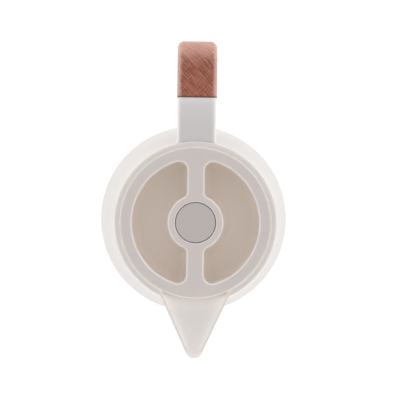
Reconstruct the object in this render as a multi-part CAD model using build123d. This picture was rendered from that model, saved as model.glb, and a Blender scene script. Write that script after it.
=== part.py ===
"""Insulated vacuum jug with a beak spout, a strap handle with a wooden grip and a press-button stopper.

Millimetres, +Z up.  The origin is the centre of the footprint, on the surface that the jug stands on.
The beak points along -Y and the handle along +Y, so the X axis runs across the jug.
Each function in PIECES makes one physical piece (or one set of like pieces), already in its place.
"""

from build123d import *
from math import cos, hypot, radians, sin, sqrt, tan
import os

# ---------------------------------------------------------------- driving dimensions
# outside
RIM_Z = 240.0            # top of the pouring collar and of the lid
BASE_R = 75.0            # radius of the cone where it would meet the table
RIM_R = 56.3             # radius of the cone at the rim
SEAM_Z = 176.0           # joint between the body shell and the collar
WALL = 2.6               # moulded wall of shell and collar
FIT = 0.1                # gap between pieces that are fixed to each other
SEAM_CHAMFER = 0.3       # on both edges of the joint between shell and collar

# base
SHELL_BOTTOM_Z = 1.5
SHELL_FLOOR = (5.2, 8.0)  # underside and top of the flange that the cap locks into
CAP_HOLE_R = 58.0
CAP_FLANGE_R = 63.5
CAP_Z = 2.4              # underside of the cap
LUG_R = 61.0
LUG_COUNT = 3
FOOT_IN_R = 64.6
FOOT_OUT_R = 69.6
FOOT_TOP_Z = 3.5

# flask
FLASK_R = 54.0
GLASS = 2.0
VACUUM_GAP = 4.0
FLASK_BOTTOM_Z = 16.0
FLASK_SHOULDER_Z = 150.0
FLASK_NECK_Z = 184.0
FLASK_TOP_Z = 194.0
LIP_Z = 190.0            # underside of the rolled lip that joins the two walls
DOME = 0.55              # depth of the domed bottom over its radius
OUTER_NECK_R = 34.0
MOUTH_R = 28.3
INNER_R = FLASK_R - GLASS - VACUUM_GAP
INNER_BOTTOM_Z = FLASK_BOTTOM_Z + GLASS + VACUUM_GAP
SPACER_Z = 75.0
SPACER_R = 5.0

# collar and beak
SKIRT_R = BASE_R + (RIM_R - BASE_R) * SEAM_Z / RIM_Z - WALL - 0.2
SKIRT_WALL = 2.4
SKIRT_DROP = 10.0
CUP_R = 50.2             # bore of the collar around the lid
REBATE_R = 52.45         # step in the rim that the lid's flange rests in
REBATE_Z = 238.2
CUP_FLOOR_Z = 214.0      # cup floor where it meets the outer wall
NECK_TOP_Z = 210.0       # cup floor where it meets the neck
NECK_R = 32.0            # bore of the threaded neck
NECK_Z = 196.0           # underside of the neck, on the gasket
GASKET_R = 38.0          # flange at the foot of the neck, over the gasket
BEAK_HALF_ANGLE = 24.7   # degrees between the beak's side and its centre line
BEAK_LIP = 1.3           # width of the beak's edge beside the pouring channel
BEAK_WALL = 2.3
BEAK_BACK_Y = -36.0      # the beak's block starts here, inside the collar
BEAK_TIP_R = 5.9
BEAK_REACH = 93.8        # beak tip from the axis, at the rim
BEAK_LEVELS = [          # height, reach and tip radius, from the rim down
    (RIM_Z, BEAK_REACH, BEAK_TIP_R), (228.0, 86.2, 6.0), (212.0, 75.8, 6.1), (196.0, 67.0, 6.2),
    (180.0, 60.6, 6.4),
]
HOLLOW_TOP = (229.0, 86.8, 6.0)   # top level of the hollow inside the beak
CHANNEL = [              # distance from the axis and floor height of the pouring channel
    (44.0, 232.4), (52.0, 232.8), (64.0, 234.0), (76.0, 235.8), (84.5, 237.3), (90.6, 239.0),
]

# screws that hold the handle, in the collar's wall
SCREW_Z = 204.0
SCREW_X = 7.0
SCREW_R = 1.5
SCREW_PAD_Y = 53.5
SCREW_PAD_R = 4.0

# handle, measured in depths under its outer face
HANDLE_TOP_Z = 238.2
HANDLE_REACH = 126.3     # outer face of the handle from the axis
HANDLE_BEND_R = 20.0     # outer radius of the bend
BEND_Y = HANDLE_REACH - HANDLE_BEND_R
BEND_Z = HANDLE_TOP_Z - HANDLE_BEND_R
ARM_HALF = 13.6          # half width of the white arm
ARM_THICK = 12.2
ARM_FOOT_Y = 69.5
ARM_FOOT_Z = 193.5
ARM_BEND_R = 17.0
ARM_TOE_R = 5.0
ARM_EDGE_R = 4.0         # round along both sides of its top
GRIP_HALF = 13.85        # half width of the wooden grip
GRIP_START_Y = 86.75     # start of the wood, just off the end of the arm
ARM_END_Y = GRIP_START_Y - 0.15
GRIP_END_Z = 106.0
GRIP_PROUD = 0.35        # the wood stands this much above the arm
SPINE_WIDTH = 18.0
SPINE_THICK = 3.0
SPINE_DEPTH = 5.0        # depth of the spine's outer face
SPINE_MID = SPINE_DEPTH + SPINE_THICK / 2
SPINE_ROOT_Y = 63.5
SPINE_ROOT_Z = 197.0
SPINE_END_Z = GRIP_END_Z + 8.0
GRIP_SPLIT = SPINE_DEPTH + SPINE_THICK
GRIP_DEPTH = 13.4
GRIP_CORNER_R = 8.0
GRIP_SCREW_Z = (206.0, 164.0, 122.0)
GRIP_SCREW_R = 1.6
GRIP_SCREW_HEAD_R = 3.3
GRIP_SCREW_LENGTH = 10.0
GRIP_RIM_R = (4.6, 3.0)   # rounds along the outer and the inner face of the wood

# lid
LID_R = 52.33
LID_RIM_Z = REBATE_Z + 0.1   # underside of the lid's flange
DRUM_R = 46.2
DRUM_Z = 220.5           # underside of the lid's drum
RECESS_R = 44.0          # outer radius of the two finger recesses
RECESS_DEPTH = 17.0
RECESS_SLOPE = 3.0       # degrees
RECESS_FLOOR_R = 5.0     # round between wall and floor
BAR_HALF = 6.0           # half width of the bar between the recesses
BOSS_R = 19.3
BUTTON_BORE_R = 14.15

# threaded plug
THREAD_Z = 200.3         # start of the centre line of the plug's ridges
THREAD_LEAD = 24.0
THREAD_STARTS = 4
THREAD_RISE = 5.8        # axial length of each ridge's centre line
THREAD_WIDTH = 2.4
THREAD_GAP = 0.15        # between the plug's ridges and the neck's ridges above them
DECK_Z = 218.0
DECK_R = 45.8
PLUG_R = 29.4            # tube above the flask's mouth
PLUG_WALL = 2.4
PLUG_SHOULDER_Z = 198.7
PLUG_LOW_R = 26.5        # tube inside the flask's mouth
PLUG_LOW_BORE_R = 22.5
SEAT_R = 19.0            # valve opening
SEAT_Z = 178.0           # valve seat, the underside of the plug
SEAT_THICK = 2.5
WINDOW_COUNT = 8
WINDOW_Z = (211.0, 217.0)
WINDOW_WIDTH = 11.5
SEAL_GROOVE_R = 24.5
SEAL_GROOVE = (183.0, 187.0)
STEM_GROOVE_R = 5.8
STEM_GROOVE = (183.0, 185.4)
WELL_R = 12.0            # bore of the well that holds the spring and the latch
WELL_WALL = 2.0
WELL_FLOOR_Z = 186.5
WELL_FLOOR_THICK = 5.0

# valve
STEM_R = 3.5
STEM_END_Z = 173.0
VALVE_R = 22.0
VALVE_TOP_Z = 176.0
VALVE_THICK = 4.0
VALVE_SEAL_R = (19.3, 21.5)
SPRING_TOP_Z = 199.0
SPRING_WIRE_R = 0.6
SPRING_R = 8.6
SPRING_TURNS = 4.5
FLANGE_THICK = 2.2
BLOCK_R = 9.5
BLOCK_FLAT_X = 7.0
BLOCK_TOP_Z = 226.0
STALK_R = 6.0
STALK_TOP_Z = 231.0
PEG_R = 3.0
BUTTON_R = 13.75
BUTTON_TOP_Z = 239.6
BUTTON_SKIRT_Z = 229.0
BUTTON_WALL = 1.8
BUTTON_TOP_THICK = 2.4

# latch
LATCH_Z = 215.0          # pivot of the latch pin
LATCH_X = 8.0            # plane that its leg swings in
LATCH_TIP_Z = 203.0
LATCH_TIP_X = 5.5
LATCH_WIRE_R = 0.6
TRACK_DEPTH = 1.8


# ---------------------------------------------------------------- helpers
def cone_r(z):
    """Outer radius of the jug's cone at height z."""
    return BASE_R + (RIM_R - BASE_R) * z / RIM_Z


def lathe(*points):
    """Solid of revolution about Z from (radius, height) corners."""
    return revolve(make_face(Plane.XZ * Polyline(*points, close=True)), Axis.Z)


def ring(inner, outer, low, high):
    """Plain ring about Z."""
    return lathe((inner, low), (outer, low), (outer, high), (inner, high))


def disc(radius, low, high):
    """Plain cylinder about Z."""
    return extrude(Plane.XY.offset(low) * Circle(radius), high - low)


def block(x, y, z):
    """Box from three (low, high) pairs."""
    middle = [(low + high) / 2 for low, high in (x, y, z)]
    return Pos(*middle) * Box(x[1] - x[0], y[1] - y[0], z[1] - z[0])


def rod(radius, start, end):
    """Cylinder from one point to another."""
    start, end = Vector(start), Vector(end)
    return extrude(Plane(start, z_dir=end - start) * Circle(radius), (end - start).length)


def around(count, shape, first=0):
    """Copies of a shape at equal angles about Z."""
    return [Rot(0, 0, first + 360 / count * k) * shape for k in range(count)]


def set_of(solids):
    """One compound of separate like solids."""
    return Compound(children=[s.solid() for s in solids])


def circle_edges(shape, radius, z):
    """The circular edges about Z of a given radius and height."""
    found = shape.edges().filter_by(GeomType.CIRCLE)
    return [e for e in found if abs(e.radius - radius) < 0.02 and abs(e.arc_center.Z - z) < 0.02]


def axis_distance(point):
    """Distance of a point from the Z axis."""
    return hypot(point.X, point.Y)


# ---------------------------------------------------------------- base and shell
def body_shell():
    """Conical outer shell, with an inward floor flange that the base cap locks into."""
    low, high = SHELL_BOTTOM_Z, SEAM_Z
    floor_low, floor_high = SHELL_FLOOR
    hole = CAP_FLANGE_R + 0.2
    shell = lathe(
        (CAP_HOLE_R, floor_low), (CAP_HOLE_R, floor_high), (cone_r(floor_high) - WALL, floor_high),
        (cone_r(high) - WALL, high), (cone_r(high) - SEAM_CHAMFER, high),
        (cone_r(high - SEAM_CHAMFER), high - SEAM_CHAMFER), (cone_r(low), low), (hole, low), (hole, floor_low),
    )
    shell = fillet(circle_edges(shell, cone_r(low), low), 4.5)
    shell -= ring(FOOT_IN_R - FIT, FOOT_OUT_R + FIT, 0, FOOT_TOP_Z)
    notch = block((CAP_HOLE_R - 4, CAP_HOLE_R + 4), (-13, 13), (4, 9)) & ring(0, LUG_R + 0.4, 4, 9)
    shell -= around(LUG_COUNT, notch, 60)
    return shell


def base_cap():
    """Cap that closes the shell from below and carries the flask on its cushion."""
    top = SHELL_FLOOR[0] - FIT
    lug_z = (SHELL_FLOOR[1] + FIT, SHELL_FLOOR[1] + 3.1)
    cap = ring(0, CAP_FLANGE_R, CAP_Z, top)
    cap += ring(CAP_HOLE_R - 3.4, CAP_HOLE_R - 0.3, top, 17.0)
    cap += ring(34.0, 36.2, top, 15.0)
    lug = block((CAP_HOLE_R - 4, CAP_HOLE_R + 5), (-11, 11), lug_z) & ring(CAP_HOLE_R - 2.5, LUG_R, *lug_z)
    cap += around(LUG_COUNT, lug)
    cap += around(6, block((36.1, 54.7), (-1, 1), (top, 9.1)), 30)
    cap = chamfer(circle_edges(cap, CAP_FLANGE_R, CAP_Z), 0.8)
    coin_slot = block((-17, 17), (-1.6, 1.6), (CAP_Z - 1, CAP_Z + 1.7))
    return cap - coin_slot - ring(50.0, 51.5, 2.0, 3.0) - ring(26.0, 27.5, 2.0, 3.0)


def foot_ring():
    """Soft ring pressed into the shell's underside, which the jug stands on."""
    foot = ring(FOOT_IN_R, FOOT_OUT_R, 0, FOOT_TOP_Z)
    return fillet(circle_edges(foot, FOOT_OUT_R, 0) + circle_edges(foot, FOOT_IN_R, 0), 0.9)


# ---------------------------------------------------------------- flask
def bottle(radius, bottom, neck, top):
    """Filled bottle shape: domed bottom, straight side, round shoulder and straight neck."""
    dome = radius * DOME
    outline = [
        EllipticalCenterArc((0, bottom + dome), radius, dome, start_angle=270, arc_size=90),
        Line((radius, bottom + dome), (radius, FLASK_SHOULDER_Z)),
        Spline((radius, FLASK_SHOULDER_Z), (neck, FLASK_NECK_Z), tangents=[(0, 1), (0, 1)],
               tangent_scalars=[1.1, 0.9]),
        Line((neck, FLASK_NECK_Z), (neck, top)),
        Line((neck, top), (0, top)),
        Line((0, top), (0, bottom)),
    ]
    return revolve(Plane.XZ * make_face(outline), Axis.Z)


def flask_outer():
    """Outer glass wall of the vacuum flask, with the sealed tip where it was pumped out."""
    wall = bottle(FLASK_R, FLASK_BOTTOM_Z, OUTER_NECK_R, LIP_Z)
    wall -= bottle(FLASK_R - GLASS, FLASK_BOTTOM_Z + GLASS, OUTER_NECK_R - GLASS, LIP_Z)
    return wall + disc(2.6, FLASK_BOTTOM_Z - 6.0, FLASK_BOTTOM_Z + 1.0)


def flask_inner():
    """Inner glass wall, which holds the drink, with the rolled lip that joins it to the outer wall."""
    wall = bottle(INNER_R, INNER_BOTTOM_Z, MOUTH_R + GLASS, LIP_Z)
    lip = ring(MOUTH_R, OUTER_NECK_R, LIP_Z, FLASK_TOP_Z)
    lip = fillet(circle_edges(lip, OUTER_NECK_R, FLASK_TOP_Z) + circle_edges(lip, MOUTH_R, FLASK_TOP_Z), 1.4)
    return wall + lip - bottle(INNER_R - GLASS, INNER_BOTTOM_Z + GLASS, MOUTH_R, FLASK_TOP_Z + 1)


def flask_spacers():
    """Three pads that keep the two glass walls apart."""
    gap = ring(INNER_R + 0.03, FLASK_R - GLASS - 0.03, SPACER_Z - 10, SPACER_Z + 10)
    pad = rod(SPACER_R, (0, 0, SPACER_Z), (FLASK_R, 0, SPACER_Z)) & gap
    return set_of(around(3, pad, 90))


def flask_cushion():
    """Silicone cup between the base cap and the domed bottom of the flask."""
    cushion = ring(12.0, 33.8, SHELL_FLOOR[0] - FIT, 26.0)
    return cushion - bottle(FLASK_R + 0.05, FLASK_BOTTOM_Z - 0.05, OUTER_NECK_R, LIP_Z)


def neck_gasket():
    """Silicone gasket between the flask's lip and the collar, with a skirt around the lip."""
    outer = OUTER_NECK_R + 2.4
    skirt = ring(OUTER_NECK_R + 0.2, outer, LIP_Z - 2, NECK_Z)
    return ring(MOUTH_R + 1.2, outer, FLASK_TOP_Z, NECK_Z) + skirt


# ---------------------------------------------------------------- collar and beak
def beak_block(levels, inset):
    """Block with the beak's wedge outline at each level, taken in by inset."""
    half = radians(BEAK_HALF_ANGLE)
    outlines = []
    for z, reach, tip_r in levels:
        r = tip_r - inset
        centre_y = tip_r - reach
        touch_x, touch_y = r * cos(half), centre_y - r * sin(half)
        back_x = touch_x + (BEAK_BACK_Y - touch_y) * tan(half)
        outline = [
            Line((back_x, BEAK_BACK_Y), (touch_x, touch_y)),
            ThreePointArc((touch_x, touch_y), (0, centre_y - r), (-touch_x, touch_y)),
            Line((-touch_x, touch_y), (-back_x, BEAK_BACK_Y)),
            Line((-back_x, BEAK_BACK_Y), (back_x, BEAK_BACK_Y)),
        ]
        outlines.append(Pos(0, 0, z) * make_face(outline))
    return loft(outlines)


def channel_space():
    """Space of the pouring channel: half ellipses that narrow and rise towards the tip."""
    half = radians(BEAK_HALF_ANGLE)
    tip_centre = BEAK_REACH - BEAK_TIP_R
    apex = tip_centre + BEAK_TIP_R / sin(half)
    top = RIM_Z + 6
    sections = []
    for reach, floor in CHANNEL:
        width = (apex - reach) * tan(half) - BEAK_LIP / cos(half)
        if reach > tip_centre:
            width = sqrt((BEAK_TIP_R - BEAK_LIP) ** 2 - (reach - tip_centre) ** 2)
        outline = [
            Line((width, top), (width, RIM_Z)),
            EllipticalCenterArc((0, RIM_Z), width, RIM_Z - floor, start_angle=180, arc_size=180),
            Line((-width, RIM_Z), (-width, top)),
            Line((-width, top), (width, top)),
        ]
        sections.append(Plane((0, -reach, 0), x_dir=(1, 0, 0), z_dir=(0, -1, 0)) * make_face(outline))
    return loft(sections)


def thread_ridges(root, crest, z):
    """Helical ridges, one per start, from the root radius to the crest radius."""
    path = Helix(pitch=THREAD_LEAD, height=THREAD_RISE, radius=root, center=(0, 0, z))
    half_root = THREAD_WIDTH / 2
    half_crest = half_root - 0.45
    depth = crest - root
    outline = Polyline((0, -half_root), (depth, -half_crest), (depth, half_crest), (0, half_root), close=True)
    profile = Plane(path @ 0, x_dir=(1, 0, 0), z_dir=path % 0) * make_face(outline)
    return around(THREAD_STARTS, sweep(profile, path, is_frenet=True))


def collar_walls():
    """Tapered collar with its skirt and neck, still solid inside the cup."""
    inner = SKIRT_R - SKIRT_WALL
    neck_outer = NECK_R + WALL
    walls = lathe(
        (inner, SEAM_Z - SKIRT_DROP), (SKIRT_R, SEAM_Z - SKIRT_DROP), (SKIRT_R, SEAM_Z),
        (cone_r(SEAM_Z) - SEAM_CHAMFER, SEAM_Z), (cone_r(SEAM_Z + SEAM_CHAMFER), SEAM_Z + SEAM_CHAMFER),
        (RIM_R, RIM_Z), (0, RIM_Z), (0, NECK_Z), (GASKET_R, NECK_Z), (GASKET_R, NECK_Z + 2.2),
        (neck_outer, NECK_Z + 2.2), (neck_outer, NECK_TOP_Z - WALL),
        (cone_r(CUP_FLOOR_Z) - WALL, CUP_FLOOR_Z - WALL), (inner, SEAM_Z + 2),
    )
    return fillet(circle_edges(walls, RIM_R, RIM_Z), 2.6)


def collar_cup():
    """Space for the lid and the plug inside the collar."""
    bore = MOUTH_R + 0.9
    return lathe(
        (0, NECK_Z - 1), (bore, NECK_Z - 1), (bore, NECK_Z + 2.2), (NECK_R, NECK_Z + 2.2),
        (NECK_R, NECK_TOP_Z), (CUP_R, CUP_FLOOR_Z), (CUP_R, REBATE_Z), (REBATE_R, REBATE_Z),
        (REBATE_R, RIM_Z + 1), (0, RIM_Z + 1),
    )


def collar():
    """Pouring collar: tapered ring, hollow beak, cup for the lid and threaded neck over the flask."""
    body = collar_walls()
    body += beak_block(BEAK_LEVELS, 0) - disc(cone_r(SEAM_Z) - 4.0, SEAM_Z - 5, CUP_FLOOR_Z)
    hollow = beak_block([HOLLOW_TOP] + BEAK_LEVELS[2:], BEAK_WALL)
    body -= hollow - disc(54.5, SEAM_Z - 5, RIM_Z) - disc(70, SEAM_Z - 5, SEAM_Z + 6)
    body -= collar_cup()
    body = fillet(circle_edges(body, REBATE_R, RIM_Z), 0.8)
    body -= channel_space()
    for x in (-SCREW_X, SCREW_X):
        body += rod(SCREW_PAD_R, (x, SCREW_PAD_Y, SCREW_Z), (x, 57, SCREW_Z))
        body -= rod(SCREW_R + FIT, (x, 50, SCREW_Z), (x, 70, SCREW_Z))
    return body + thread_ridges(NECK_R + 0.5, NECK_R - 1.8, THREAD_Z + THREAD_WIDTH + THREAD_GAP)


# ---------------------------------------------------------------- handle
def arc_point(y, z, r, angle):
    """Point on a circle in the side view, with the angle in degrees from +Y towards +Z."""
    return (y + r * cos(radians(angle)), z + r * sin(radians(angle)))


def strap(outer, inner):
    """Bent strap as wide as the grip, between two depths under the handle's outer face."""
    edges = []
    for depth in (outer, inner):
        r = HANDLE_BEND_R - depth
        middle = arc_point(BEND_Y, BEND_Z, r, 45)
        edges.append(Line((GRIP_START_Y, BEND_Z + r), (BEND_Y, BEND_Z + r)))
        edges.append(ThreePointArc((BEND_Y, BEND_Z + r), middle, (BEND_Y + r, BEND_Z)))
        edges.append(Line((BEND_Y + r, BEND_Z), (BEND_Y + r, GRIP_END_Z)))
    edges.append(Line((GRIP_START_Y, HANDLE_TOP_Z - outer), (GRIP_START_Y, HANDLE_TOP_Z - inner)))
    edges.append(Line((HANDLE_REACH - outer, GRIP_END_Z), (HANDLE_REACH - inner, GRIP_END_Z)))
    return extrude(Plane.YZ * make_face(edges), GRIP_HALF, both=True)


def strap_depth(point):
    """Depth of a point under the handle's outer face."""
    if point.Y < BEND_Y:
        return HANDLE_TOP_Z - point.Z
    if point.Z < BEND_Z:
        return HANDLE_REACH - point.Y
    return HANDLE_BEND_R - hypot(point.Y - BEND_Y, point.Z - BEND_Z)


def round_strap(shape, depth, radius):
    """Rounds the corners of the strap's free end, then the rim of its face at the given depth."""
    corners = []
    for e in shape.edges():
        if abs((e @ 0.5).Z - GRIP_END_Z) < 0.02 and abs((e @ 0).Y - (e @ 1).Y) > 1:
            corners.append(e)
    shape = fillet(corners, GRIP_CORNER_R)
    rim = []
    for e in shape.edges():
        middle = e @ 0.5
        crosswise = abs((e @ 0).X - (e @ 1).X) > 20 and middle.Z > GRIP_END_Z + 1
        if abs(strap_depth(middle) - depth) < 0.02 and not crosswise:
            rim.append(e)
    return fillet(rim, radius)


def spine_bar(gap):
    """The spine's bent strip, grown all round by gap."""
    top, out = HANDLE_TOP_Z - SPINE_MID, HANDLE_REACH - SPINE_MID
    root_z, end_z = SPINE_ROOT_Z - gap, SPINE_END_Z - gap
    points = [(0, SPINE_ROOT_Y, root_z), (0, SPINE_ROOT_Y, top), (0, out, top), (0, out, end_z)]
    path = FilletPolyline(*points, radius=(8, HANDLE_BEND_R - SPINE_MID))
    start = Plane(path @ 0, x_dir=(1, 0, 0), z_dir=path % 0)
    return sweep(start * Rectangle(SPINE_WIDTH + 2 * gap, SPINE_THICK + 2 * gap), path)


def handle_spine():
    """Bent steel strip inside the handle, drilled for the screws."""
    bar = spine_bar(0)
    out = HANDLE_REACH - SPINE_MID
    for z in GRIP_SCREW_Z:
        bar -= rod(GRIP_SCREW_R + FIT, (0, out - 6, z), (0, out + 6, z))
    for x in (-SCREW_X, SCREW_X):
        bar -= rod(SCREW_R + 0.03, (x, 55, SCREW_Z), (x, 70, SCREW_Z))
    return bar


def arm_side():
    """Side view of the white arm, before it is cut to the cone."""
    under = HANDLE_TOP_Z - ARM_THICK
    bend_y, bend_z = ARM_FOOT_Y + ARM_BEND_R, under - ARM_BEND_R
    toe_y, toe_z = ARM_FOOT_Y - ARM_TOE_R, ARM_FOOT_Z + ARM_TOE_R
    return make_face([
        Line((50, HANDLE_TOP_Z), (ARM_END_Y, HANDLE_TOP_Z)),
        Line((ARM_END_Y, HANDLE_TOP_Z), (ARM_END_Y, under)),
        Line((ARM_END_Y, under), (bend_y, under)),
        ThreePointArc((bend_y, under), arc_point(bend_y, bend_z, ARM_BEND_R, 135), (ARM_FOOT_Y, bend_z)),
        Line((ARM_FOOT_Y, bend_z), (ARM_FOOT_Y, toe_z)),
        ThreePointArc((ARM_FOOT_Y, toe_z), arc_point(toe_y, toe_z, ARM_TOE_R, -45), (toe_y, ARM_FOOT_Z)),
        Line((toe_y, ARM_FOOT_Z), (50, ARM_FOOT_Z)),
        Line((50, ARM_FOOT_Z), (50, HANDLE_TOP_Z)),
    ])


def arm_plan():
    """Plan view of the white arm, flared where it meets the collar."""
    plan = Circle(RIM_R) + Pos(0, ARM_END_Y / 2) * Rectangle(2 * ARM_HALF, ARM_END_Y)
    corners = [v for v in plan.vertices() if abs(abs(v.X) - ARM_HALF) < 0.01 and v.Y < 60]
    return fillet(corners, 4.0)


def arm_cover():
    """White arm moulded around the spine, from its foot on the collar to the start of the wood."""
    arm = extrude(Plane.YZ * arm_side(), 30, both=True) & extrude(Pos(0, 0, 180) * arm_plan(), 70)
    sides = []
    for e in arm.edges():
        if abs((e @ 0.5).Z - HANDLE_TOP_Z) < 0.01 and abs((e @ 0.5).X) > ARM_HALF - 0.1:
            sides.append(e)
    arm = fillet(sides, ARM_EDGE_R)
    arm = fillet([e for e in arm.edges() if abs((e @ 0.5).Y - ARM_END_Y) < 0.01], 0.4)
    arm -= lathe((0, 180), (cone_r(180) + 0.04, 180), (RIM_R + 0.04, RIM_Z), (0, RIM_Z))
    arm -= spine_bar(0.05)
    for x in (-SCREW_X, SCREW_X):
        arm -= rod(SCREW_R + FIT, (x, 50, SCREW_Z), (x, 67, SCREW_Z))
    return arm


def grip_outer():
    """Outer half of the bent wooden grip, with a channel for the spine."""
    half = round_strap(strap(-GRIP_PROUD, GRIP_SPLIT), -GRIP_PROUD, GRIP_RIM_R[0])
    half -= spine_bar(FIT)
    for z in GRIP_SCREW_Z:
        half -= rod(GRIP_SCREW_R + 0.03, (0, HANDLE_REACH - 15, z), (0, HANDLE_REACH - 2.8, z))
    return half


def grip_inner():
    """Inner half of the bent wooden grip, countersunk for the screws."""
    half = round_strap(strap(GRIP_SPLIT + 0.05, GRIP_DEPTH), GRIP_DEPTH, GRIP_RIM_R[1])
    for z in GRIP_SCREW_Z:
        half -= grip_screw(z, 0.05)
    return half


def grip_screw(z, gap):
    """Countersunk screw along +Y from the grip's inner face, grown by gap."""
    head, shank = GRIP_SCREW_HEAD_R + gap, GRIP_SCREW_R + gap
    top = 0.1 - 4 * gap
    end = GRIP_SCREW_LENGTH
    outline = Polyline((0, top), (head, top), (head, 0.4), (shank, 2.2), (shank, end), (0, end), close=True)
    place = Plane((0, HANDLE_REACH - GRIP_DEPTH, z), x_dir=(1, 0, 0), z_dir=(0, 1, 0))
    return place * revolve(make_face(Plane.XZ * outline), Axis.Z)


def cross_slot(x, y, z):
    """Cross recess for a screw's head, centred on its face."""
    return Pos(x, y, z) * (Box(3.4, 2.4, 0.8) + Box(0.8, 2.4, 3.4))


def grip_screws():
    """The three grip screws."""
    face = HANDLE_REACH - GRIP_DEPTH
    return set_of([grip_screw(z, 0) - cross_slot(0, face, z) for z in GRIP_SCREW_Z])


def handle_screws():
    """Two screws from inside the collar's dry space into the spine."""
    end = SPINE_ROOT_Y + SPINE_THICK / 2
    screws = []
    for x in (-SCREW_X, SCREW_X):
        head = rod(3.0, (x, SCREW_PAD_Y - 2.0, SCREW_Z), (x, SCREW_PAD_Y, SCREW_Z))
        shank = rod(SCREW_R, (x, SCREW_PAD_Y - 0.5, SCREW_Z), (x, end, SCREW_Z))
        screws.append(head + shank - cross_slot(x, SCREW_PAD_Y - 2.0, SCREW_Z))
    return set_of(screws)


# ---------------------------------------------------------------- lid
def recess_space():
    """The two D-shaped finger recesses with sloping walls and rounded floors."""
    plan = Circle(RECESS_R) - Rectangle(2 * BAR_HALF, 2 * RECESS_R + 2) - Circle(BOSS_R)
    plan = fillet([v for v in plan.vertices() if axis_distance(v) > RECESS_R - 1], 6.0)
    plan = fillet([v for v in plan.vertices() if axis_distance(v) < BOSS_R + 0.5], 4.0)
    space = extrude(Pos(0, 0, RIM_Z) * plan, -RECESS_DEPTH, taper=RECESS_SLOPE)
    floor = [e for e in space.edges() if abs((e @ 0.5).Z - RIM_Z + RECESS_DEPTH) < 0.02]
    return fillet(floor, RECESS_FLOOR_R)


def lid_cover():
    """Lid: outer ring over the collar's cup, drum with two finger recesses, bar and button boss."""
    lid = lathe(
        (BUTTON_BORE_R, DRUM_Z), (DRUM_R, DRUM_Z), (DRUM_R, LID_RIM_Z), (LID_R, LID_RIM_Z), (LID_R, RIM_Z),
        (BUTTON_BORE_R, RIM_Z),
    )
    lid = fillet(circle_edges(lid, LID_R, RIM_Z), 1.1)
    lid = fillet(circle_edges(lid, BUTTON_BORE_R, RIM_Z), 0.8)
    lid -= recess_space()
    rims = []
    for e in lid.edges():
        middle = e @ 0.5
        if abs(middle.Z - RIM_Z) < 0.01 and BOSS_R - 1 < axis_distance(middle) < RECESS_R + 1:
            rims.append(e)
    lid = fillet(rims, 1.5)
    for y in ((21, 41), (-41, -21)):
        lid -= block((-3.8, 3.8), y, (DRUM_Z, RIM_Z - 2.5))
    return lid


# ---------------------------------------------------------------- stopper
def plug_outline():
    """Half section of the plug: deck, threaded tube, lower tube with valve seat, and well."""
    shoulder_top = PLUG_SHOULDER_Z + PLUG_WALL
    well_outer = WELL_R + WELL_WALL
    stem_bore = STEM_R + FIT
    seat_top = SEAT_Z + SEAT_THICK
    well_low = WELL_FLOOR_Z - WELL_FLOOR_THICK
    outside = [
        (WELL_R, DRUM_Z), (DECK_R, DRUM_Z), (DECK_R, DECK_Z), (PLUG_R, DECK_Z), (PLUG_R, PLUG_SHOULDER_Z),
        (PLUG_LOW_R, PLUG_SHOULDER_Z), (PLUG_LOW_R, SEAL_GROOVE[1]), (SEAL_GROOVE_R, SEAL_GROOVE[1]),
        (SEAL_GROOVE_R, SEAL_GROOVE[0]), (PLUG_LOW_R, SEAL_GROOVE[0]), (PLUG_LOW_R, SEAT_Z), (SEAT_R, SEAT_Z),
    ]
    inside = [
        (SEAT_R, seat_top), (PLUG_LOW_BORE_R, seat_top), (PLUG_LOW_BORE_R, shoulder_top),
        (PLUG_R - PLUG_WALL, shoulder_top), (PLUG_R - PLUG_WALL, DECK_Z), (well_outer, DECK_Z),
        (well_outer, well_low), (stem_bore, well_low), (stem_bore, STEM_GROOVE[0]),
        (STEM_GROOVE_R, STEM_GROOVE[0]), (STEM_GROOVE_R, STEM_GROOVE[1]), (stem_bore, STEM_GROOVE[1]),
        (stem_bore, WELL_FLOOR_Z), (WELL_R, WELL_FLOOR_Z),
    ]
    return outside + inside


def stopper_body():
    """Threaded plug with pouring windows, the valve seat and the well for spring and latch."""
    plug = lathe(*plug_outline())
    window = block((PLUG_R - 4, PLUG_R + 4), (-WINDOW_WIDTH / 2, WINDOW_WIDTH / 2), WINDOW_Z)
    plug -= around(WINDOW_COUNT, window, 180 / WINDOW_COUNT)
    plug -= rod(LATCH_WIRE_R + 0.06, (WELL_R - 2, 0, LATCH_Z), (WELL_R + 3, 0, LATCH_Z))
    return plug + thread_ridges(PLUG_R - 0.4, PLUG_R + 2.1, THREAD_Z)


def plug_seal():
    """Silicone ring with two lips in the plug's groove."""
    root, body, lip = SEAL_GROOVE_R + 0.06, PLUG_LOW_R + 0.3, MOUTH_R - 0.1
    low, high = SEAL_GROOVE[0] + 0.06, SEAL_GROOVE[1] - 0.06
    return lathe(
        (root, low), (body, low), (lip, low + 0.5), (lip, low + 1.0), (body, low + 1.6),
        (body, high - 1.6), (lip, high - 1.0), (lip, high - 0.5), (body, high), (root, high),
    )


def stem_seal():
    """O-ring around the valve stem."""
    minor = (STEM_GROOVE_R - STEM_R) / 2 - 0.03
    return Pos(0, 0, sum(STEM_GROOVE) / 2) * Torus((STEM_R + STEM_GROOVE_R) / 2, minor)


def return_spring():
    """Coil spring under the plunger."""
    low = WELL_FLOOR_Z + SPRING_WIRE_R + 0.02
    height = SPRING_TOP_Z - SPRING_WIRE_R - 0.02 - low
    path = Helix(pitch=height / SPRING_TURNS, height=height, radius=SPRING_R, center=(0, 0, low))
    return sweep(Plane(path @ 0, z_dir=path % 0) * Circle(SPRING_WIRE_R), path, is_frenet=True)


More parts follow.
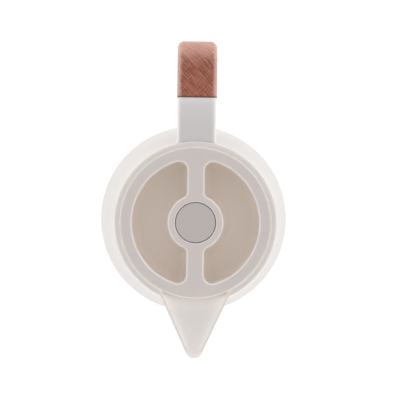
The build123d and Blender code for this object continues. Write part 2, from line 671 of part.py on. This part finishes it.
# ---------------------------------------------------------------- valve and latch
def button():
    """Round push button with a skirt and a socket for the plunger's peg."""
    under, skirt_r = BUTTON_TOP_Z - BUTTON_TOP_THICK, BUTTON_R - BUTTON_WALL
    socket = PEG_R + 0.05
    top = lathe(
        (0, BUTTON_TOP_Z), (BUTTON_R, BUTTON_TOP_Z), (BUTTON_R, BUTTON_SKIRT_Z), (skirt_r, BUTTON_SKIRT_Z),
        (skirt_r, under), (STALK_R, under), (STALK_R, STALK_TOP_Z), (socket, STALK_TOP_Z),
        (socket, under - 0.4), (0, under - 0.4),
    )
    return fillet(circle_edges(top, BUTTON_R, BUTTON_TOP_Z), 0.7)


def heart_track():
    """Heart-shaped track in the plunger's flat side, around a small island."""
    z = LATCH_TIP_Z
    half = [(0, z - 0.8), (1.0, z - 0.8), (1.2, z + 0.5), (4.0, z + 4.5), (4.0, z + 8.0), (0, z + 8.0)]
    island = [(0, z + 2.3), (1.0, z + 4.2), (0.9, z + 5.2), (0, z + 4.6)]
    track = make_face(Polyline(*half, close=True)) - make_face(Polyline(*island, close=True))
    return extrude(Plane.YZ.offset(BLOCK_FLAT_X - TRACK_DEPTH) * (track + mirror(track, Plane.YZ)), 5)


def plunger():
    """Plunger: stem, spring flange, block with the latch track and the peg that holds the button."""
    flange_top = SPRING_TOP_Z + FLANGE_THICK
    track_block = disc(BLOCK_R, SPRING_TOP_Z + 1, BLOCK_TOP_Z)
    track_block -= block((BLOCK_FLAT_X, BLOCK_R + 1), (-BLOCK_R, BLOCK_R), (flange_top, BLOCK_TOP_Z + 1))
    track_block -= heart_track()
    shape = disc(STEM_R, STEM_END_Z, SPRING_TOP_Z + 1) + disc(WELL_R - 0.2, SPRING_TOP_Z, flange_top)
    shape += track_block
    shape += disc(STALK_R, BLOCK_TOP_Z - 1, STALK_TOP_Z)
    return shape + disc(PEG_R, STALK_TOP_Z - 1, BUTTON_TOP_Z - BUTTON_TOP_THICK - 0.6)


def valve_disc():
    """Valve plate pressed onto the foot of the stem, grooved for its seal."""
    low = VALVE_TOP_Z - VALVE_THICK
    plate = disc(VALVE_R, low, VALVE_TOP_Z) - disc(STEM_R + 0.02, STEM_END_Z, VALVE_TOP_Z + 1)
    plate = chamfer(circle_edges(plate, VALVE_R, low), 1.5)
    return plate - ring(*VALVE_SEAL_R, VALVE_TOP_Z - 1.5, VALVE_TOP_Z + 1)


def valve_seal():
    """Silicone face seal that closes against the plug's seat."""
    inner, outer = VALVE_SEAL_R
    return ring(inner + 0.02, outer - 0.02, VALVE_TOP_Z - 1.5, SEAT_Z)


def latch_pin():
    """Bent wire pin: pivot end in the well's wall, leg down the flat, tip in the track."""
    points = [
        (WELL_R + 1.8, 0, LATCH_Z), (LATCH_X, 0, LATCH_Z), (LATCH_X, 0, LATCH_TIP_Z),
        (LATCH_TIP_X, 0, LATCH_TIP_Z),
    ]
    path = FilletPolyline(*points, radius=0.9)
    return sweep(Plane(path @ 0, z_dir=path % 0) * Circle(LATCH_WIRE_R), path)


PIECES = (
    body_shell, collar, flask_outer, flask_inner, flask_spacers, neck_gasket, flask_cushion, base_cap,
    foot_ring, handle_spine, arm_cover, grip_outer, grip_inner, grip_screws, handle_screws, plug_seal,
    lid_cover, stopper_body, stem_seal, return_spring, button, plunger, valve_disc, valve_seal, latch_pin,
)

if __name__ == "__main__":
    os.makedirs("parts", exist_ok=True)
    for make in PIECES:
        export_step(make(), f"parts/{make.__name__}.step")
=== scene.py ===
"""Looks for the vacuum jug: camera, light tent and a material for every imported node.

Metres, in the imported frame: +Z up, the beak along -Y, the handle along +Y.
"""

from math import cos, radians, sin

import bpy
from mathutils import Matrix, Vector


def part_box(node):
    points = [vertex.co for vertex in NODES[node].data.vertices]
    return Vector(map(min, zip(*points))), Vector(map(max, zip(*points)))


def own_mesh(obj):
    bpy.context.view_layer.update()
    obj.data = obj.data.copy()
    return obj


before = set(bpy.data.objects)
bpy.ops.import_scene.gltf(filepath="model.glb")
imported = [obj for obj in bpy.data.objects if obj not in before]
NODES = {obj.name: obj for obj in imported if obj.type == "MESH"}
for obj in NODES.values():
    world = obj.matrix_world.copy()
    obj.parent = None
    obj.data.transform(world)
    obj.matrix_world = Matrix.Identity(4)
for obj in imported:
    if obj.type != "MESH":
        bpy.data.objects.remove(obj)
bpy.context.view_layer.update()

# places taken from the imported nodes
RIM_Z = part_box("collar")[1][2]
BEAK_TIP_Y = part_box("collar")[0][1]
LID_TOP_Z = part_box("lid_cover")[1][2]
LID_EDGE_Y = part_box("lid_cover")[0][1]
LID_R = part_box("lid_cover")[1][0]
GRIP_LOW, GRIP_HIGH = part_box("grip_outer")
GRIP_START_Y = GRIP_LOW[1]
GRIP_HALF = (GRIP_HIGH[0] - GRIP_LOW[0]) / 2

# the handle's bend in the side view: its outer face, and the line that the grain is measured along
BEND_R = 0.020
BEND_MID_R = 0.018
BEND_Y = GRIP_HIGH[1] - BEND_R
BEND_Z = GRIP_HIGH[2] - BEND_R

# camera: almost straight above, a little behind and to the left of the jug's axis
CAMERA_AT = Vector((-0.0096, 0.0188, 1.628))
CAMERA_AIM = Vector((0.0029, 0.0157, 0.240))
CAMERA_ROLL = radians(0.72)
CAMERA_LENS = 181.1

# brightness of the tent by the height of the direction, from the horizon up to the roof
TENT_STOPS = [
    (0.0, (0.98, 0.975, 0.97)), (0.30, (1.0, 0.98, 0.965)), (0.60, (0.80, 0.775, 0.76)),
    (1.0, (0.40, 0.385, 0.385)),
]
TENT_STRENGTH = 1.16
FLOOR_GLOW = 0.46

# the plastics: painted highlights on rounded edges, and a painted glow where thin walls would let a
# little light through
PAINTED_EDGE_HIGHLIGHT = (0.90, 0.87, 0.84)
# painted glow, an emission standing in for light through thin walls: its colour, and its strength in the
# groove and at the beak's root
PAINTED_GLOW_COLOUR = (1.0, 0.93, 0.82)
GAP_PAINTED_GLOW = 0.16         # in the groove around the lid
ROOT_PAINTED_GLOW = 0.15        # at the beak's root
ROOT_LENGTH = 0.014      # how far that light reaches from the lid
RECESS_EDGE_R = LID_R - 0.007


# ---------------------------------------------------------------- camera, light and floor
def make_camera():
    """Camera that looks down at the jug, rolled so that the handle leans a little to the right."""
    data = bpy.data.cameras.new("camera")
    data.sensor_width = 36
    data.lens = CAMERA_LENS
    data.clip_end = 20
    camera = bpy.data.objects.new("camera", data)
    bpy.context.scene.collection.objects.link(camera)
    back = (CAMERA_AT - CAMERA_AIM).normalized()
    up = Vector((-sin(CAMERA_ROLL), cos(CAMERA_ROLL), 0))
    right = up.cross(back).normalized()
    up = back.cross(right)
    camera.matrix_world = Matrix.Translation(CAMERA_AT) @ Matrix((right, up, back)).transposed().to_4x4()
    bpy.context.scene.camera = camera


def make_world():
    """Light tent: bright walls, a little dimmer opposite the handle, and a dimmer roof."""
    world = bpy.data.worlds.new("tent")
    bpy.context.scene.world = world
    world.use_nodes = True
    tree = world.node_tree
    direction = tree.nodes.new("ShaderNodeTexCoord").outputs["Generated"]
    x, y, height = split_xyz(tree, direction)
    # +1 towards the handle, on a line turned 30 degrees from it towards +X, and -1 opposite
    towards_handle = maths(tree, "ADD", times(tree, x, 0.5), times(tree, y, 0.87))
    shade = spread(tree, towards_handle, -1.0, 0.4, 0.86, 1.0)
    dimmed = join_xyz(tree, shade, shade, shade)
    walls = blend_colour(tree, 1.0, add_ramp(tree, height, TENT_STOPS), dimmed, "MULTIPLY")
    background = tree.nodes["Background"]
    tree.links.new(walls, background.inputs["Color"])
    background.inputs["Strength"].default_value = TENT_STRENGTH


def make_floor():
    """Plain white floor that also glows a little, as the lit base of a light tent does."""
    mesh = bpy.data.meshes.new("floor")
    half = 3.0
    corners = [(-half, -half, 0), (half, -half, 0), (half, half, 0), (-half, half, 0)]
    mesh.from_pydata(corners, [], [(0, 1, 2, 3)])
    floor = bpy.data.objects.new("floor", mesh)
    bpy.context.scene.collection.objects.link(floor)
    material, shader, _ = new_material("floor")
    shader.inputs["Base Color"].default_value = (0.8, 0.8, 0.8, 1)
    shader.inputs["Roughness"].default_value = 0.9
    shader.inputs["Specular IOR Level"].default_value = 0.1
    shader.inputs["Emission Color"].default_value = (1, 1, 1, 1)
    shader.inputs["Emission Strength"].default_value = FLOOR_GLOW
    mesh.materials.append(material)


# ---------------------------------------------------------------- shader helpers
def new_material(name):
    """Empty principled material: (material, shader node, node tree)."""
    material = bpy.data.materials.new(name)
    material.use_nodes = True
    tree = material.node_tree
    return material, tree.nodes["Principled BSDF"], tree


def plug(tree, value, socket):
    """Links a node's output, or sets a plain number or colour."""
    if isinstance(value, bpy.types.NodeSocket):
        tree.links.new(value, socket)
    else:
        socket.default_value = value


def object_coords(tree):
    return tree.nodes.new("ShaderNodeTexCoord").outputs["Object"]


def split_xyz(tree, vector):
    node = tree.nodes.new("ShaderNodeSeparateXYZ")
    tree.links.new(vector, node.inputs[0])
    return node.outputs[0], node.outputs[1], node.outputs[2]


def join_xyz(tree, *values):
    node = tree.nodes.new("ShaderNodeCombineXYZ")
    for value, socket in zip(values, node.inputs):
        plug(tree, value, socket)
    return node.outputs[0]


def maths(tree, operation, *values):
    node = tree.nodes.new("ShaderNodeMath")
    node.operation = operation
    for value, socket in zip(values, node.inputs):
        plug(tree, value, socket)
    return node.outputs[0]


def times(tree, first, *others):
    """Product of two or more values."""
    for other in others:
        first = maths(tree, "MULTIPLY", first, other)
    return first


def hypotenuse(tree, first, second):
    squares = [maths(tree, "POWER", value, 2.0) for value in (first, second)]
    return maths(tree, "SQRT", maths(tree, "ADD", *squares))


def spread(tree, value, low, high, to_low=0.0, to_high=1.0, smoothly=True):
    """Maps low..high to to_low..to_high, clamped."""
    node = tree.nodes.new("ShaderNodeMapRange")
    if smoothly:
        node.interpolation_type = "SMOOTHSTEP"
    for name, number in (("From Min", low), ("From Max", high), ("To Min", to_low), ("To Max", to_high)):
        node.inputs[name].default_value = number
    tree.links.new(value, node.inputs["Value"])
    return node.outputs[0]


def add_noise(tree, coords, scale, detail=2.0, roughness=0.5):
    node = tree.nodes.new("ShaderNodeTexNoise")
    node.inputs["Scale"].default_value = scale
    node.inputs["Detail"].default_value = detail
    node.inputs["Roughness"].default_value = roughness
    tree.links.new(coords, node.inputs["Vector"])
    return node.outputs["Fac"]


def stretch(tree, coords, across, along, through=1.0):
    """Scales coordinates, so that a noise turns into streaks."""
    node = tree.nodes.new("ShaderNodeMapping")
    node.inputs["Scale"].default_value = (across, along, through)
    tree.links.new(coords, node.inputs["Vector"])
    return node.outputs[0]


def add_ramp(tree, value, stops):
    ramp = tree.nodes.new("ShaderNodeValToRGB")
    while len(ramp.color_ramp.elements) < len(stops):
        ramp.color_ramp.elements.new(0.5)
    for element, (place, colour) in zip(ramp.color_ramp.elements, stops):
        element.position = place
        element.color = (*colour, 1)
    tree.links.new(value, ramp.inputs[0])
    return ramp.outputs[0]


def blend_colour(tree, factor, first, second, mode="MIX"):
    """Colour between first and second; each is a socket or three numbers."""
    node = tree.nodes.new("ShaderNodeMix")
    node.data_type = "RGBA"
    node.blend_type = mode
    plug(tree, factor, node.inputs[0])
    for value, socket in ((first, node.inputs[6]), (second, node.inputs[7])):
        plug(tree, value if isinstance(value, bpy.types.NodeSocket) else (*value, 1), socket)
    return node.outputs[2]


def add_bump(tree, shader, height, distance, strength=1.0):
    bump = tree.nodes.new("ShaderNodeBump")
    bump.inputs["Strength"].default_value = strength
    bump.inputs["Distance"].default_value = distance
    tree.links.new(height, bump.inputs["Height"])
    tree.links.new(bump.outputs[0], shader.inputs["Normal"])


# ---------------------------------------------------------------- plastics
def moulded_plastic(name, colour, roughness=0.42, layers=(), soft=0.0, through=None):
    """Moulded plastic with a fine spark-eroded grain, faint drifts of tone and layers of (mask, colour).

    soft is how much of the light wanders inside the wall before it comes out again.
    through is a mask of painted glow: an emission that stands in for light reaching a place through the
    wall behind it.
    """
    material, shader, tree = new_material(name)
    coords = object_coords(tree)
    drift = add_noise(tree, coords, 18.0)
    base = add_ramp(tree, drift, [(0.3, tuple(c * 0.988 for c in colour)), (0.7, colour)])
    for mask, layer_colour in layers:
        base = blend_colour(tree, mask(tree, coords), base, layer_colour)
    tree.links.new(base, shader.inputs["Base Color"])
    grain = add_noise(tree, coords, 2600.0, 3.0, 0.6)
    rough = spread(tree, grain, 0.3, 0.7, roughness - 0.04, roughness + 0.04, False)
    tree.links.new(rough, shader.inputs["Roughness"])
    shader.inputs["IOR"].default_value = 1.49
    if soft:
        shader.inputs["Subsurface Weight"].default_value = soft
        shader.inputs["Subsurface Radius"].default_value = (1.0, 0.85, 0.7)
        shader.inputs["Subsurface Scale"].default_value = 0.003
    # painted glow: emission that stands in for light through the wall
    if through:
        shader.inputs["Emission Color"].default_value = (*PAINTED_GLOW_COLOUR, 1)
        tree.links.new(through(tree, coords), shader.inputs["Emission Strength"])
    add_bump(tree, shader, grain, 0.00002, 0.5)
    return material


def axis_distance(tree, coords):
    """Distance from the jug's upright axis."""
    x, y, _ = split_xyz(tree, coords)
    return hypotenuse(tree, x, y)


def normal_z(tree):
    """Z part of the surface's normal: 1 on faces that look up, 0 on upright walls."""
    return split_xyz(tree, tree.nodes.new("ShaderNodeNewGeometry").outputs["Normal"])[2]


def recess_painted_light(tree, coords):
    """Painted light: 1 deep in the lid's recesses, 0 on its top and on the outside of its drum."""
    height = split_xyz(tree, coords)[2]
    deep = spread(tree, height, LID_TOP_Z - 0.0012, LID_TOP_Z - 0.009)
    within = spread(tree, axis_distance(tree, coords), RECESS_EDGE_R + 0.0004, RECESS_EDGE_R - 0.0004)
    return times(tree, deep, within)


def rims(tree, coords, low, start, full):
    """Mask for painted highlights: 1 on rounded edges above a height whose normals lean out past the
    given Z parts, 0 elsewhere.
    """
    above = spread(tree, split_xyz(tree, coords)[2], low - 0.0004, low)
    return times(tree, above, spread(tree, normal_z(tree), start, full))


def lid_rim_highlight(tree, coords):
    """Painted highlight on the rounded edges of the lid's top."""
    return rims(tree, coords, LID_TOP_Z - 0.0012, 0.995, 0.90)


def collar_rim_highlight(tree, coords):
    """Painted highlight on the rounded edges of the rim and the beak."""
    return rims(tree, coords, RIM_Z - 0.0022, 0.80, 0.45)


def arm_side_highlight(tree, coords):
    """Painted highlight on the rounded long edges of the arm."""
    return rims(tree, coords, RIM_Z - 0.0060, 0.97, 0.55)


def arm_root_painted_shade(tree, coords):
    """Painted shade: 1 where the arm leaves the collar, 0 beside the wood."""
    return spread(tree, split_xyz(tree, coords)[1], GRIP_START_Y - 0.003, GRIP_START_Y - 0.022)


def near_wood_painted_light(tree, coords):
    """Painted light: fades in over the last few millimetres of the arm beside the wood."""
    return spread(tree, split_xyz(tree, coords)[1], GRIP_START_Y - 0.0065, GRIP_START_Y - 0.001)


def arm_end_highlight(tree, coords):
    """Painted highlight: 1 on the rounded end of the arm beside the wood."""
    return spread(tree, split_xyz(tree, coords)[1], GRIP_START_Y - 0.0011, GRIP_START_Y - 0.0006)


def beak_painted_light(tree, coords):
    """Painted light: 1 on the upward faces of the pouring channel and of the beak's tip, 0 elsewhere on
    the collar.
    """
    _, y, z = split_xyz(tree, coords)
    upward = spread(tree, normal_z(tree), 0.05, 0.25)
    ahead = spread(tree, y, LID_EDGE_Y + 0.004, LID_EDGE_Y)
    lower = spread(tree, z, RIM_Z - 0.0002, RIM_Z - 0.0016)
    tip = spread(tree, y, BEAK_TIP_Y + 0.0060, BEAK_TIP_Y + 0.0030)
    return times(tree, upward, ahead, maths(tree, "MAXIMUM", lower, tip))


def lid_gap_painted_glow(tree, coords):
    """Painted glow on the rounded edges down in the groove around the lid."""
    z = split_xyz(tree, coords)[2]
    aside = maths(tree, "ABSOLUTE", maths(tree, "SUBTRACT", axis_distance(tree, coords), LID_R))
    lower = spread(tree, z, RIM_Z - 0.0001, RIM_Z - 0.0009)
    above_ledge = spread(tree, z, RIM_Z - 0.0024, RIM_Z - 0.0018)
    near = spread(tree, aside, 0.0011, 0.0003, 0.0, GAP_PAINTED_GLOW)
    return times(tree, near, lower, above_ledge)


def collar_painted_glow(tree, coords):
    """Painted glow on the collar: in the groove around the lid, and at the beak's root beside the lid.
    """
    _, y, z = split_xyz(tree, coords)
    reach = axis_distance(tree, coords)
    root = spread(tree, reach, LID_R + ROOT_LENGTH, LID_R, 0.0, ROOT_PAINTED_GLOW)
    outside_lid = spread(tree, reach, LID_R - 0.0014, LID_R - 0.0004)
    beak_side = spread(tree, y, LID_EDGE_Y + 0.024, LID_EDGE_Y + 0.018)
    upward = spread(tree, normal_z(tree), 0.05, 0.35)
    lower = spread(tree, z, RIM_Z - 0.0004, RIM_Z - 0.0020)
    root = times(tree, root, outside_lid, beak_side, upward, lower)
    return maths(tree, "ADD", root, lid_gap_painted_glow(tree, coords))


# ---------------------------------------------------------------- wood
def grip_coords(tree):
    """Coordinates in the bent grip: (across, along, depth under the outer face)."""
    x, y, z = split_xyz(tree, object_coords(tree))
    past_y = maths(tree, "SUBTRACT", y, BEND_Y)
    past_z = maths(tree, "SUBTRACT", z, BEND_Z)
    out_y = maths(tree, "MAXIMUM", past_y, 0.0)
    out_z = maths(tree, "MAXIMUM", past_z, 0.0)
    turn = times(tree, maths(tree, "ARCTAN2", out_y, out_z), BEND_MID_R)
    top_leg = maths(tree, "MINIMUM", past_y, 0.0)
    down_leg = maths(tree, "MINIMUM", past_z, 0.0)
    along = maths(tree, "SUBTRACT", maths(tree, "ADD", top_leg, turn), down_leg)
    return x, along, maths(tree, "SUBTRACT", BEND_R, hypotenuse(tree, out_y, out_z))


def make_wood():
    """Oiled red-brown wood, cut with its grain askew, so that fine streaks cross the grip diagonally."""
    material, shader, tree = new_material("wood")
    across, along, depth = grip_coords(tree)
    diagonals = [maths(tree, operation, across, along) for operation in ("ADD", "SUBTRACT")]
    askew = join_xyz(tree, *diagonals, depth)
    bands = add_noise(tree, stretch(tree, askew, 1.0, 0.12), 260.0, 3.0, 0.6)
    streaks = add_noise(tree, stretch(tree, askew, 1.0, 0.08), 820.0, 3.0, 0.7)
    cross = add_noise(tree, stretch(tree, askew, 0.09, 1.0), 780.0, 2.0, 0.6)
    patches = add_noise(tree, askew, 55.0, 2.0, 0.5)

    tone = add_ramp(tree, bands, [
        (0.30, (0.255, 0.072, 0.040)), (0.50, (0.345, 0.105, 0.060)), (0.70, (0.46, 0.165, 0.104)),
    ])
    redder = blend_colour(tree, spread(tree, patches, 0.42, 0.62), tone, (0.40, 0.105, 0.068))
    tone = blend_colour(tree, 0.5, tone, redder)
    dark = spread(tree, streaks, 0.50, 0.32, 0.0, 0.75)
    tone = blend_colour(tree, dark, tone, (0.155, 0.042, 0.022))
    light = spread(tree, streaks, 0.52, 0.62, 0.0, 0.62)
    tone = blend_colour(tree, light, tone, (0.60, 0.27, 0.185))
    crossing = spread(tree, cross, 0.54, 0.64, 0.0, 0.42)
    tone = blend_colour(tree, crossing, tone, (0.60, 0.28, 0.195))

    # painted highlights: paler from the bend downwards and along both rounded edges; painted shade: dark
    # at the wood's end beside the arm
    past_bend = spread(tree, along, 0.002, 0.015, 0.0, 0.8)
    upper_part = spread(tree, along, 0.070, 0.030, 0.2, 1.0)
    uneven = spread(tree, streaks, 0.36, 0.60, 0.55, 1.0)
    bend_painted_highlight = times(tree, past_bend, upper_part, uneven)
    tone = blend_colour(tree, bend_painted_highlight, tone, (0.74, 0.42, 0.33))
    # painted highlight along both rounded edges
    side = maths(tree, "ABSOLUTE", across)
    edge_painted_highlight = spread(tree, side, GRIP_HALF - 0.0038, GRIP_HALF - 0.0008, 0.0, 0.85)
    edge_painted_highlight = times(tree, edge_painted_highlight, spread(tree, streaks, 0.3, 0.55, 0.6, 1.0))
    tone = blend_colour(tree, edge_painted_highlight, tone, (0.74, 0.50, 0.42))
    # painted shade: a dark line at the wood's end, in the joint beside the arm
    cut_at = GRIP_START_Y - BEND_Y
    joint_painted_shade = spread(tree, along, cut_at + 0.0014, cut_at + 0.0002, 0.0, 0.7)
    tone = blend_colour(tree, joint_painted_shade, tone, (0.10, 0.028, 0.016))
    tree.links.new(tone, shader.inputs["Base Color"])

    tree.links.new(spread(tree, streaks, 0.3, 0.7, 0.50, 0.34, False), shader.inputs["Roughness"])
    shader.inputs["IOR"].default_value = 1.5
    shader.inputs["Coat Weight"].default_value = 0.25
    shader.inputs["Coat Roughness"].default_value = 0.3
    relief = maths(tree, "ADD", streaks, times(tree, bands, 0.5))
    add_bump(tree, shader, relief, 0.00012, 0.6)
    return material


# ---------------------------------------------------------------- metal, glass, rubber and pads
def make_steel():
    """Satin steel with fine drawn lines."""
    material, shader, tree = new_material("steel")
    coords = object_coords(tree)
    lines = add_noise(tree, stretch(tree, coords, 1.0, 0.04, 0.04), 5200.0, 2.0, 0.6)
    tree.links.new(add_ramp(tree, lines, [(0.3, (0.50, 0.50, 0.51)), (0.7, (0.62, 0.62, 0.63))]),
                   shader.inputs["Base Color"])
    tree.links.new(spread(tree, lines, 0.3, 0.7, 0.26, 0.40, False), shader.inputs["Roughness"])
    shader.inputs["Metallic"].default_value = 1.0
    add_bump(tree, shader, lines, 0.00001, 0.5)
    return material


def make_silvered_glass():
    """Glass with the silver layer seen through it: bright, faintly uneven, with brown tarnish spots."""
    material, shader, tree = new_material("silvered_glass")
    coords = object_coords(tree)
    cloud = add_noise(tree, coords, 34.0, 4.0, 0.6)
    spots = add_noise(tree, coords, 260.0, 2.0, 0.5)
    silver = add_ramp(tree, cloud, [(0.3, (0.74, 0.75, 0.76)), (0.7, (0.86, 0.87, 0.88))])
    silver = blend_colour(tree, spread(tree, spots, 0.68, 0.80, 0.0, 0.35), silver, (0.55, 0.48, 0.40))
    tree.links.new(silver, shader.inputs["Base Color"])
    tree.links.new(spread(tree, cloud, 0.3, 0.7, 0.06, 0.16, False), shader.inputs["Roughness"])
    shader.inputs["Metallic"].default_value = 0.9
    shader.inputs["Coat Weight"].default_value = 1.0
    shader.inputs["Coat Roughness"].default_value = 0.03
    add_bump(tree, shader, cloud, 0.0003, 0.3)
    return material


def make_silicone():
    """Off-white silicone: soft light inside, a little dusty."""
    material, shader, tree = new_material("silicone")
    coords = object_coords(tree)
    dust = add_noise(tree, coords, 320.0, 4.0, 0.6)
    tree.links.new(add_ramp(tree, dust, [(0.3, (0.70, 0.69, 0.66)), (0.7, (0.78, 0.77, 0.74))]),
                   shader.inputs["Base Color"])
    tree.links.new(spread(tree, dust, 0.3, 0.7, 0.42, 0.60, False), shader.inputs["Roughness"])
    shader.inputs["IOR"].default_value = 1.41
    shader.inputs["Subsurface Weight"].default_value = 0.3
    shader.inputs["Subsurface Scale"].default_value = 0.002
    add_bump(tree, shader, dust, 0.00003, 0.4)
    return material


def make_soft_foot():
    """Matt grey rubber with a pebbled skin and scuffs low down, where it meets the table."""
    material, shader, tree = new_material("soft_foot")
    coords = object_coords(tree)
    pebble = add_noise(tree, coords, 1500.0, 2.0, 0.5)
    scuff = add_noise(tree, stretch(tree, coords, 1.0, 1.0, 6.0), 120.0, 4.0, 0.7)
    low_down = spread(tree, split_xyz(tree, coords)[2], 0.0016, 0.0002)
    worn = times(tree, spread(tree, scuff, 0.5, 0.7), low_down)
    tone = add_ramp(tree, pebble, [(0.3, (0.225, 0.225, 0.22)), (0.7, (0.27, 0.27, 0.265))])
    tree.links.new(blend_colour(tree, worn, tone, (0.40, 0.40, 0.39)), shader.inputs["Base Color"])
    tree.links.new(spread(tree, pebble, 0.3, 0.7, 0.78, 0.92, False), shader.inputs["Roughness"])
    add_bump(tree, shader, pebble, 0.00008, 0.7)
    return material


def make_pad():
    """Grey pressed-fibre pads between the glass walls."""
    material, shader, tree = new_material("grey_pad")
    fibres = add_noise(tree, object_coords(tree), 1900.0, 5.0, 0.75)
    tree.links.new(add_ramp(tree, fibres, [(0.35, (0.16, 0.16, 0.16)), (0.65, (0.30, 0.30, 0.29))]),
                   shader.inputs["Base Color"])
    shader.inputs["Roughness"].default_value = 0.95
    shader.inputs["Sheen Weight"].default_value = 0.3
    add_bump(tree, shader, fibres, 0.00015, 0.8)
    return material


# ---------------------------------------------------------------- assignment
def assign(material, *names):
    for name in names:
        slots = NODES[name].data.materials
        slots.clear()
        slots.append(material)


def smooth(obj, angle=35):
    obj.data.shade_smooth()
    obj.data.set_sharp_from_angle(angle=radians(angle))


make_camera()
make_world()
make_floor()

assign(moulded_plastic("shell_plastic", (0.765, 0.75, 0.74)), "body_shell", "base_cap")
assign(moulded_plastic("arm_plastic", (0.79, 0.775, 0.795), 0.42, [
    (arm_root_painted_shade, (0.725, 0.71, 0.715)), (near_wood_painted_light, (0.87, 0.845, 0.865)), (arm_side_highlight, (0.98, 0.97, 0.97)),
    (arm_end_highlight, PAINTED_EDGE_HIGHLIGHT)]), "arm_cover")
assign(moulded_plastic("collar_plastic", (0.785, 0.765, 0.75), 0.42, [
    (beak_painted_light, (0.98, 0.92, 0.905)), (collar_rim_highlight, PAINTED_EDGE_HIGHLIGHT)], 0.6, collar_painted_glow), "collar")
assign(moulded_plastic("lid_plastic", (0.775, 0.725, 0.71), 0.42, [
    (recess_painted_light, (0.87, 0.785, 0.715)), (lid_rim_highlight, PAINTED_EDGE_HIGHLIGHT)], 0.6, lid_gap_painted_glow), "lid_cover")
assign(moulded_plastic("button_plastic", (0.615, 0.575, 0.555), 0.5), "button")
assign(moulded_plastic("plug_plastic", (0.75, 0.74, 0.72), 0.35),
       "stopper_body", "plunger", "valve_disc")
assign(make_wood(), "grip_outer", "grip_inner")
assign(make_steel(), "handle_spine", "grip_screws", "handle_screws", "return_spring", "latch_pin")
assign(make_silvered_glass(), "flask_outer", "flask_inner")
assign(make_silicone(), "neck_gasket", "flask_cushion", "plug_seal", "stem_seal", "valve_seal")
assign(make_soft_foot(), "foot_ring")
assign(make_pad(), "flask_spacers")

for obj in NODES.values():
    smooth(obj)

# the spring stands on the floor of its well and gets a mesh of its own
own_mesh(NODES["return_spring"])

bpy.context.scene.view_settings.view_transform = "Standard"
